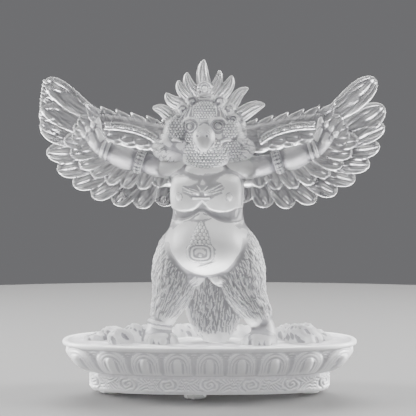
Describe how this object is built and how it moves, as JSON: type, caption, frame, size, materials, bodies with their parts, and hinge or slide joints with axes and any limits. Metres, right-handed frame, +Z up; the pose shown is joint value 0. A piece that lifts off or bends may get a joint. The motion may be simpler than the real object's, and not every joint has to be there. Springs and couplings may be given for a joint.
{
  "type": "garuda statue",
  "caption": "Small cast glass garuda with a beaked head, flame crown and spread wings, standing between boulders on an oval lotus base with soft pads below.",
  "frame": {"origin": "on the table, under the middle of the oval base", "axes": "+Z up, the figure faces -Y, +X runs along the base to the viewer's right"},
  "size_m": [0.1575, 0.066, 0.1499],
  "materials": {
    "frosted_glass": "cast glass, frosted and see-through, satin on the body and clearer on the wings",
    "clear_silicone": "clear, slightly yellow silicone"
  },
  "bodies": {
    "root": {"garuda_statue": "frosted_glass", "pad_front": "clear_silicone", "pad_back": "clear_silicone", "pad_left": "clear_silicone", "pad_right": "clear_silicone"}
  },
  "joints": []
}
